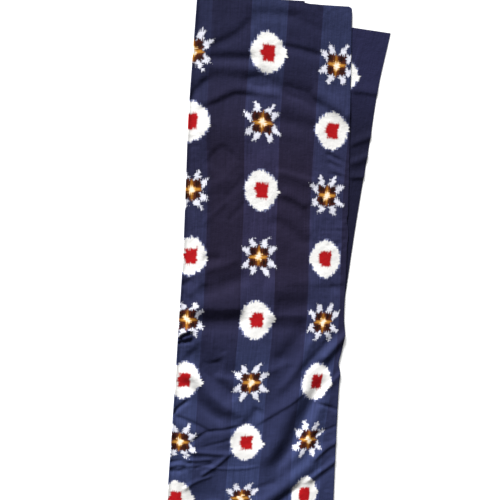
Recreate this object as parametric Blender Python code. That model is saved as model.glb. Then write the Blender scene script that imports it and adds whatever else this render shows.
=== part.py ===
"""A length of ikat cotton, folded lengthwise into a long flat strip and laid on its back.

Metres, +Z up. The strip runs along Y, its far end at +Y, with its selvedges and folds along it.
The cloth is one sheet. From its inner selvedge it runs, across the strip:
    under layer   on the surface, from the inner selvedge out to the left fold
    face layer    over everything, from the left fold across to the right fold
    second layer  back under the face, from the right fold to the inner fold
    flap layer    out again, from the inner fold to the outer selvedge, which shows at the far right
Tables below are in millimetres. Distances "along" are measured on the cloth from its far cut end.
"""

from collections import namedtuple

import bmesh
import bpy
import numpy as np

for old in list(bpy.data.objects):
    bpy.data.objects.remove(old)

MM = 0.001

# Driving sizes
CUT_LENGTH = 950.0
SHEET = 1.0
LAYER_GAP = 0.6
FAR_END = 481.0
NEAR_END = FAR_END - CUT_LENGTH
RAMP = 60.0
EDGE_CLEARANCE = 4.0
TRIANGLES = 11600

# Where the folds and the outer selvedge lie across the strip, and how far the face stands off the stack
Section = namedtuple("Section", "along left_fold right_fold flap_edge loft")
SECTIONS = (
    Section(0, -150.8, 102.0, 171.5, 1.4),
    Section(95, -154.3, 107.8, 158.6, 1.6),
    Section(190, -157.4, 112.6, 152.2, 1.6),
    Section(310, -157.4, 120.0, 142.4, 1.6),
    Section(430, -157.6, 127.3, 134.4, 1.8),
    Section(560, -160.6, 133.8, 127.0, 2.6),
    Section(690, -163.7, 135.6, 119.0, 3.0),
    Section(820, -167.4, 140.0, 110.0, 2.8),
    Section(950, -171.5, 145.5, 100.5, 2.0),
)

# The straight edges, each from the far end to the near end
FLAP_ENDS_Y = (438.0, -481.0)
INNER_FOLD_X = (-58.5, -46.5)
INNER_FOLD_Y = (458.0, -477.0)
INNER_SELVEDGE_X = (24.0, -7.5)

# Soft bulges and hollows in the right fold's outline
Bulge = namedtuple("Bulge", "at_y out half_length")
BULGES = (
    Bulge(118, -2.0, 9),
    Bulge(92, 1.4, 12),
    Bulge(-86, 3.4, 20),
    Bulge(-145, -3.6, 15),
    Bulge(-165, 1.2, 12),
)

# The far cut edge: the face dips near the right fold, and the second layer shows behind it
FACE_DIP = 6.5
FACE_DIP_FROM_X = 0.0
FACE_DIP_TO_X = 42.0
SECOND_RISE = 9.0
CUT_REACH = 70.0
CORNER_RADIUS = 6.0

# Ridges (rise above 0) and troughs (below 0). up and down are the widths of the two flanks, towards
# the far end and the near end. The path's points are (x, y).
Crease = namedtuple("Crease", "name rise up down path")
FACE_CREASES = (
    Crease("far ridge", 0.8, 8, 6, ((-66, 470), (-33, 471), (4, 471))),
    Crease("far trough", -0.7, 6, 8, ((-70, 452), (-3, 455), (64, 459))),
    Crease("shoulder trough", -1.2, 8, 8, ((-56, 454), (-96, 424), (-130, 404))),
    Crease("left bar", -1.4, 5, 9, ((-136, 384), (-98, 385), (-56, 388))),
    Crease("right bar", -1.2, 4, 8, ((-14, 409), (20, 408), (62, 397))),
    Crease(
        "great arc", -1.5, 7, 9,
        ((-162, 300), (-140, 336), (-125, 354), (-101, 360), (-63, 360), (-20, 352), (37, 336), (64, 324)),
    ),
    Crease("arc ridge", 1.0, 9, 9, ((-118, 342), (-70, 342), (-35, 338), (-4, 330))),
    Crease("lower arc", -1.1, 4, 7, ((-142, 294), (-112, 314), (-86, 328), (-50, 330))),
    Crease("right shoulder", 1.5, 12, 9, ((48, 344), (82, 322), (116, 296))),
    Crease("upper swell", 0.9, 9, 9, ((-10, 294), (18, 278), (58, 264))),
    Crease("peak", -0.8, 6, 6, ((-124, 210), (-115, 238), (-103, 244), (-78, 224))),
    Crease("slant trough", -1.3, 9, 11, ((-6, 162), (27, 147), (64, 122))),
    Crease("broad hollow", -0.9, 15, 15, ((-8, 132), (42, 100), (70, 88))),
    Crease("upper left hollow", -1.3, 9, 10, ((-124, -1), (-90, 15), (-46, 28))),
    Crease("left gully", -2.3, 9, 13, ((-134, -62), (-86, -64), (-42, -62))),
    Crease("gully bank", 0.8, 7, 14, ((-122, -84), (-85, -86), (-48, -84))),
    Crease("right gully", -1.3, 6, 9, ((0, -61), (36, -62), (74, -60))),
    Crease("right fold ridge", 2.6, 9, 7, ((150, -70), (112, -112), (84, -139))),
    Crease("right fold trough", -1.9, 8, 8, ((150, -94), (122, -124), (100, -151))),
    Crease("inner slant trough", -1.0, 7, 8, ((110, -100), (88, -121), (60, -142))),
    Crease("inner slant ridge", 1.3, 10, 12, ((84, -98), (58, -134), (22, -178))),
    Crease("left ridge", 1.9, 9, 11, ((-172, -102), (-136, -129), (-96, -172), (-77, -194), (-48, -209))),
    Crease("left trough", -1.6, 10, 12, ((-130, -193), (-103, -222), (-80, -239), (-50, -258))),
    Crease("left tuck", -1.4, 4, 5, ((-178, -250), (-153, -229), (-138, -215))),
    Crease("thin crease", -0.9, 4, 7, ((-134, -301), (-115, -286), (-76, -274), (-38, -267))),
    Crease("near left bar", -1.0, 6, 5, ((-122, -329), (-94, -331), (-58, -334))),
    Crease("near left ridge", 1.6, 6, 5, ((-116, -374), (-91, -347), (-64, -324))),
    Crease("near left edge ridge", 1.2, 5, 4, ((-140, -390), (-120, -376), (-94, -363))),
    Crease("diagonal ridge", 2.2, 16, 5, ((-14, -268), (11, -247), (34, -224), (57, -203), (78, -202))),
    Crease("deep trough", -2.9, 9, 11, ((80, -203), (62, -241), (48, -275), (38, -308), (12, -354))),
    Crease("trough bank", 1.6, 10, 14, ((94, -203), (76, -250), (62, -300), (38, -348))),
    Crease("bright ridge", 3.2, 12, 9, ((-30, -440), (38, -386), (68, -362), (102, -318), (150, -296))),
    Crease("ridge hollow", -1.6, 8, 8, ((56, -395), (84, -366), (106, -342), (152, -314))),
    Crease("second ridge", 2.0, 8, 6, ((62, -406), (94, -376), (117, -354), (152, -330))),
    Crease("near hollow", -1.4, 7, 7, ((4, -436), (39, -404), (64, -387))),
)
FLAP_CREASES = (
    Crease("flap step", 1.2, 14, 5, ((100, 341), (130, 340), (166, 341))),
    Crease("flap trough", -0.5, 5, 7, ((104, 234), (136, 251), (160, 264))),
    Crease("flap ridge", 0.9, 7, 6, ((104, 198), (130, 199), (158, 202))),
)
PATH_STEPS = 32
FADE = 0.2
LEAST_GAP_LIFT = 0.3

# How finely the sheet is drawn before it is thinned
STATIONS = 190
FOLD_STEPS = 6
UNDER_STEPS = 8
FACE_STEPS = 60
SECOND_STEPS = 12
FLAP_STEPS = 26

COTTON_COLOUR = (0.030, 0.034, 0.085, 1.0)
COTTON_ROUGHNESS = 0.85


def smooth_step(t):
    """Runs from 0 to 1, level at both ends."""
    t = np.clip(t, 0.0, 1.0)
    return t * t * (3.0 - 2.0 * t)


def through(knots, values, at):
    """A smooth curve through the values at the knots, read at other places."""
    knots = np.asarray(knots, float)
    values = np.asarray(values, float)
    slopes = np.gradient(values, knots)
    seg = np.clip(np.searchsorted(knots, at) - 1, 0, len(knots) - 2)
    width = knots[seg + 1] - knots[seg]
    t = (at - knots[seg]) / width
    start = (1 + 2 * t) * (1 - t) ** 2 * values[seg] + t * (1 - t) ** 2 * width * slopes[seg]
    end = t * t * (3 - 2 * t) * values[seg + 1] - t * t * (1 - t) * width * slopes[seg + 1]
    return start + end


def crease_path(points):
    """The crease's own points joined by a smooth curve."""
    points = np.asarray(points, float)
    steps = np.hypot(*np.diff(points, axis=0).T)
    knots = np.concatenate(([0.0], np.cumsum(steps)))
    at = np.linspace(0.0, knots[-1], PATH_STEPS + 1)
    return np.column_stack([through(knots, points[:, axis], at) for axis in (0, 1)])


def crease_height(crease, x, y):
    """Height that one ridge or trough adds at x, y: a rounded profile that fades out at both ends."""
    path = crease_path(crease.path)
    nearest = np.full(x.shape, np.inf)
    side = np.zeros(x.shape)
    place = np.zeros(x.shape)
    for step in range(PATH_STEPS):
        (x0, y0), (x1, y1) = path[step], path[step + 1]
        dx, dy = x1 - x0, y1 - y0
        t = np.clip(((x - x0) * dx + (y - y0) * dy) / (dx * dx + dy * dy), 0.0, 1.0)
        off_x, off_y = x - x0 - t * dx, y - y0 - t * dy
        gap = np.hypot(off_x, off_y)
        closer = gap < nearest
        nearest = np.where(closer, gap, nearest)
        side = np.where(closer, off_y, side)
        place = np.where(closer, (step + t) / PATH_STEPS, place)
    width = crease.down + (crease.up - crease.down) * smooth_step(0.5 + side / (nearest + 0.5))
    fade = smooth_step(place / FADE) * smooth_step((1.0 - place) / FADE)
    return crease.rise * fade * np.exp(-((nearest / width) ** 2))


def relief(creases, x, y):
    return sum(crease_height(crease, x, y) for crease in creases)


def lifted(height):
    """Keeps a height just above 0, so that a trough comes down to the layer below and no further."""
    return 0.5 * (height + np.sqrt(height * height + LEAST_GAP_LIFT**2))


along = np.linspace(0.0, CUT_LENGTH, STATIONS + 1)
share = along / CUT_LENGTH
face_y = FAR_END - along
knots = [row.along for row in SECTIONS]
left_fold = through(knots, [row.left_fold for row in SECTIONS], along)
right_fold = through(knots, [row.right_fold for row in SECTIONS], along)
flap_edge = through(knots, [row.flap_edge for row in SECTIONS], along)
loft = through(knots, [row.loft for row in SECTIONS], along)
flap_y = np.interp(share, (0, 1), FLAP_ENDS_Y)
inner_fold = np.interp(share, (0, 1), INNER_FOLD_X)
inner_y = np.interp(share, (0, 1), INNER_FOLD_Y)
inner_selvedge = np.interp(share, (0, 1), INNER_SELVEDGE_X)
for bulge in BULGES:
    right_fold += bulge.out * np.exp(-(((face_y - bulge.at_y) / bulge.half_length) ** 2))
short_of_corner = (1.0 - along / CORNER_RADIUS).clip(0.0, 1.0)
right_fold -= CORNER_RADIUS * (1.0 - np.sqrt(1.0 - short_of_corner**2))

near_cut = np.exp(-along / CUT_REACH)
layer_rise = SHEET + LAYER_GAP
floor_z = SHEET / 2


def on_under(x, station):
    """1 over the under layer, falling to 0 past its selvedge."""
    return smooth_step((inner_selvedge[station] + EDGE_CLEARANCE + RAMP - x) / RAMP)


def on_pleat(x, station):
    """1 over the inner pleat, falling to 0 left of the inner fold."""
    return smooth_step((x - inner_fold[station] + EDGE_CLEARANCE + RAMP) / RAMP)


def face_point(t, station):
    x = left_fold[station] + t * (right_fold[station] - left_fold[station])
    dip = FACE_DIP * smooth_step((x - FACE_DIP_FROM_X) / (FACE_DIP_TO_X - FACE_DIP_FROM_X))
    y = face_y[station] - dip * near_cut[station]
    stack = layer_rise * (1.0 + on_pleat(x, station) * (1.0 + on_under(x, station)))
    z = floor_z + stack + lifted(loft[station] + relief(FACE_CREASES, x, y))
    return x, y, z


def second_point(t, station):
    x = right_fold[station] + t * (inner_fold[station] - right_fold[station])
    start_y = face_y[station] - FACE_DIP * near_cut[station]
    hump = SECOND_RISE * np.sin(np.pi * t) ** 2 * near_cut[station]
    y = start_y + t * (inner_y[station] - start_y) + hump
    z = floor_z + layer_rise * (1.0 + on_under(x, station))
    return x, y, z


def flap_point(t, station):
    x = inner_fold[station] + t * (flap_edge[station] - inner_fold[station])
    y = inner_y[station] + t * (flap_y[station] - inner_y[station])
    shown = smooth_step((x - right_fold[station]) / RAMP)
    bare = lifted(relief(FLAP_CREASES, x, y)) - lifted(0.0)
    z = floor_z + layer_rise * on_under(x, station) + shown * bare
    return x, y, z


def under_point(t, station):
    x = inner_selvedge[station] + t * (left_fold[station] - inner_selvedge[station])
    y = np.full_like(t, face_y[station])
    z = np.full_like(t, floor_z)
    return x, y, z


def fold_arc(edge_x, outward, start, end):
    """A half round fold from the end of one layer to the start of the next, whose edge is at edge_x."""
    radius = abs(end[2] - start[2]) / 2
    centre_x = edge_x - outward * (radius + SHEET / 2)
    turn = np.linspace(0.0, np.pi, FOLD_STEPS + 1)
    x = centre_x + outward * radius * np.sin(turn)
    y = start[1] + (end[1] - start[1]) * turn / np.pi
    z = (start[2] + end[2]) / 2 + (start[2] - end[2]) / 2 * np.cos(turn)
    return np.column_stack([x, y, z]), centre_x


def layer_run(layer, steps, station, x_from=None, x_to=None):
    """Points across one layer, its ends drawn in to where the folds' arcs begin."""
    (first, last), _, _ = layer(np.array([0.0, 1.0]), station)
    start = first if x_from is None else x_from
    end = last if x_to is None else x_to
    t = (np.linspace(start, end, steps + 1) - first) / (last - first)
    return np.column_stack(layer(t, station))


def cross_section(station):
    """The sheet's middle line, from the inner selvedge to the outer one."""
    layers = (under_point, face_point, second_point, flap_point)
    under, face, second, flap = [np.column_stack(layer(np.array([0.0, 1.0]), station)) for layer in layers]
    left, left_x = fold_arc(left_fold[station], -1, under[1], face[0])
    right, right_x = fold_arc(right_fold[station], 1, face[1], second[0])
    inner, inner_x = fold_arc(inner_fold[station], -1, second[1], flap[0])
    under = layer_run(under_point, UNDER_STEPS, station, x_to=left_x)
    face = layer_run(face_point, FACE_STEPS, station, x_from=left_x, x_to=right_x)
    second = layer_run(second_point, SECOND_STEPS, station, x_from=right_x, x_to=inner_x)
    flap = layer_run(flap_point, FLAP_STEPS, station, x_from=inner_x)
    return np.concatenate([under, left[1:-1], face, right[1:-1], second, inner[1:-1], flap])


def sheet_skins():
    """The two skins of the sheet, half a thickness either side of its middle."""
    middle = np.array([cross_section(station) for station in range(STATIONS + 1)])
    across = np.gradient(middle, axis=1)
    down = np.gradient(middle, axis=0)
    normal = np.cross(across, down)
    normal /= np.linalg.norm(normal, axis=2, keepdims=True)
    skins = [middle + side * normal * SHEET / 2 for side in (1, -1)]
    for skin in skins:
        skin[..., 2] = np.maximum(skin[..., 2], 0.0)
    return skins


def cloth_mesh():
    """Both skins, joined round the sheet's four edges into one closed body."""
    skins = sheet_skins()
    rows, columns = skins[0].shape[:2]
    mesh = bmesh.new()
    verts = [[[mesh.verts.new(p * MM) for p in row] for row in skin] for skin in skins]
    for outer, flip in ((verts[0], False), (verts[1], True)):
        for i in range(rows - 1):
            for j in range(columns - 1):
                corners = [outer[i][j], outer[i + 1][j], outer[i + 1][j + 1], outer[i][j + 1]]
                mesh.faces.new(corners[::-1] if flip else corners)
    rim = [(i, 0) for i in range(rows)]
    rim += [(rows - 1, j) for j in range(1, columns)]
    rim += [(i, columns - 1) for i in range(rows - 2, -1, -1)]
    rim += [(0, j) for j in range(columns - 2, -1, -1)]
    for (i, j), (k, m) in zip(rim[:-1], rim[1:]):
        mesh.faces.new([verts[0][i][j], verts[0][k][m], verts[1][k][m], verts[1][i][j]])
    bmesh.ops.recalc_face_normals(mesh, faces=mesh.faces)
    data = bpy.data.meshes.new("cloth")
    mesh.to_mesh(data)
    mesh.free()
    return data


def cotton():
    material = bpy.data.materials.new("cotton")
    material.use_nodes = True
    shader = material.node_tree.nodes["Principled BSDF"]
    shader.inputs["Base Color"].default_value = COTTON_COLOUR
    shader.inputs["Roughness"].default_value = COTTON_ROUGHNESS
    shader.inputs["Metallic"].default_value = 0.0
    return material


cloth = bpy.data.objects.new("cloth", cloth_mesh())
bpy.context.collection.objects.link(cloth)
cloth.data.materials.append(cotton())
thin_out = cloth.modifiers.new("Thin out flat stretches", "DECIMATE")
thin_out.use_collapse_triangulate = True
thin_out.ratio = TRIANGLES / (2 * len(cloth.data.polygons))
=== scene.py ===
import math
from collections import namedtuple

import bpy
import numpy as np
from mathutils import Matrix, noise


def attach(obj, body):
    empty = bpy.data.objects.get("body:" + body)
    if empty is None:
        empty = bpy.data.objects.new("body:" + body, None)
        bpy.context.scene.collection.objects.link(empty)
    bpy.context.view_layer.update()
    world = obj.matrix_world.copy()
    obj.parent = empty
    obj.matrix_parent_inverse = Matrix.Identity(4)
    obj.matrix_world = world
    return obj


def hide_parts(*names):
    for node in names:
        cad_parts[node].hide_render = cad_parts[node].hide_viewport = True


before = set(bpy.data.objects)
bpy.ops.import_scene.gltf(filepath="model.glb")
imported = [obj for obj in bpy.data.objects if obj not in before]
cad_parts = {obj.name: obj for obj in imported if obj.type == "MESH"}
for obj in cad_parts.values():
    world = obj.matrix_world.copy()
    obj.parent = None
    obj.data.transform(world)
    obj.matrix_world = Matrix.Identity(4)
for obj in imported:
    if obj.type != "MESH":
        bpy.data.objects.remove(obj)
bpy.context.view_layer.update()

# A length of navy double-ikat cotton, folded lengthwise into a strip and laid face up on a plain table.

# The table and the studio: a plain white table top, far wider than the cloth, with a faint glow that
# keeps the cloth's shadow pale. One broad soft light comes from past the far end, a little to the left,
# so that it rakes the creases, and a pale room fills the shadows.
TABLE_HALF_SIZE = 6.0
TABLE_BELOW = 0.0002
TABLE_COLOUR = (0.9, 0.9, 0.9, 1.0)
TABLE_ROUGHNESS = 0.9
TABLE_SHINE = 0.1
TABLE_GLOW = 0.35
ROOM_COLOUR = (1.0, 1.0, 1.0, 1.0)
ROOM_STRENGTH = 0.12
KEY_STRENGTH = 10.3
KEY_SOFTNESS = math.radians(20)
KEY_TURN = (math.radians(-72), 0.0, math.radians(20))

bpy.ops.object.select_all(action="DESELECT")
bpy.ops.mesh.primitive_plane_add(size=2 * TABLE_HALF_SIZE, location=(0, 0, -TABLE_BELOW))
table_top = bpy.context.object
table_top.name = "table_top"
bpy.ops.object.transform_apply(location=True, rotation=True, scale=True)
paint = bpy.data.materials.new("table paint")
paint.use_nodes = True
paint_shader = paint.node_tree.nodes["Principled BSDF"]
paint_shader.inputs["Base Color"].default_value = TABLE_COLOUR
paint_shader.inputs["Roughness"].default_value = TABLE_ROUGHNESS
paint_shader.inputs["Specular IOR Level"].default_value = TABLE_SHINE
paint_shader.inputs["Emission Color"].default_value = TABLE_COLOUR
paint_shader.inputs["Emission Strength"].default_value = TABLE_GLOW
table_top.data.materials.append(paint)

bpy.ops.object.light_add(type="SUN", rotation=KEY_TURN)
key = bpy.context.object
key.name = "key_light"
key.data.energy = KEY_STRENGTH
key.data.angle = KEY_SOFTNESS

room = bpy.data.worlds.new("room")
room.use_nodes = True
room_light = room.node_tree.nodes["Background"]
room_light.inputs["Color"].default_value = ROOM_COLOUR
room_light.inputs["Strength"].default_value = ROOM_STRENGTH
bpy.context.scene.world = room
bpy.context.scene.view_settings.view_transform = "Standard"

# The camera: it is held over the far end of the strip and looks down and a little back along it, as
# in the photo, with the strip's near end out of the picture.
CAMERA_AT = (-0.2261, 0.4447, 1.4992)
CAMERA_TURN = (math.radians(-14.622), math.radians(-6.184), math.radians(3.196))
CAMERA_LENS_MM = 64.8
CAMERA_SENSOR_MM = 36.0

bpy.ops.object.camera_add(location=CAMERA_AT, rotation=CAMERA_TURN)
camera = bpy.context.object
camera.data.lens = CAMERA_LENS_MM
camera.data.sensor_width = CAMERA_SENSOR_MM
bpy.context.scene.camera = camera

# The cloth: one length of plain-weave cotton, with a selvedge down each side and a plain cut at each
# end. It is folded back and forth into an under layer, the face, a second layer under the face, and a
# flap whose selvedge shows at the far right. Lengths are in millimetres, as a cutter would mark them.
MM = 0.001
CLOTH_UV = "cloth"
CUT_LENGTH = 950.0
COTTON = 0.5
LAYER_RISE = 1.1
FAR_END = 481.0

# A layer that runs past the edge of the one below it comes down over a ramp.
RAMP = 60.0
EDGE_CLEARANCE = 4.0

# Where the folds and the flap's selvedge lie across the strip, and how far the face puffs up, at places
# along the cloth. The hidden fold and selvedge run straight, between their far and near ends.
Section = namedtuple("Section", "along left_fold right_fold flap_edge loft")
SECTIONS = (
    Section(0, -150.8, 103.0, 171.5, 2.6),
    Section(95, -154.3, 109.0, 158.8, 2.8),
    Section(190, -157.4, 115.4, 152.4, 2.8),
    Section(310, -157.4, 123.0, 142.6, 2.8),
    Section(430, -157.6, 129.5, 135.0, 3.2),
    Section(560, -160.6, 133.8, 128.5, 4.2),
    Section(690, -163.7, 135.6, 124.0, 4.8),
    Section(820, -167.4, 140.0, 118.0, 4.6),
    Section(950, -171.5, 145.5, 112.0, 3.2),
)
FLAP_ENDS_Y = (438.0, -481.0)
INNER_FOLD_X = (-58.5, -46.5)
INNER_FOLD_Y = (458.0, -477.0)
INNER_SELVEDGE_X = (24.0, -7.5)

# Where the right fold stands out a little (out above 0) or is drawn in.
Bulge = namedtuple("Bulge", "at_y out half_length")
BULGES = (
    Bulge(118, -2.0, 9),
    Bulge(92, 1.4, 12),
    Bulge(-92, 4.0, 24),
    Bulge(-145, -3.6, 15),
    Bulge(-165, 1.2, 12),
)

# At the far cut the right half of the face lies a little nearer, and the second layer shows past it.
# The shift dies away along the cloth, and the cut's right corner is a little rounded.
FACE_DIP = 4.5
FACE_DIP_FROM_X = 0.0
FACE_DIP_TO_X = 42.0
SECOND_RISE = 9.0
CUT_REACH = 70.0
CORNER_RADIUS = 6.0

# The face is pressed flatter towards each fold, and a thin bead stands along the left one.
PRESSED_LEFT = 38.0
PRESSED_RIGHT = 60.0
LEFT_EDGE_LOFT = 0.35
RIGHT_EDGE_LOFT = 0.2
BEAD_RISE = 1.5
BEAD_REACH = 3.0

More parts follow.
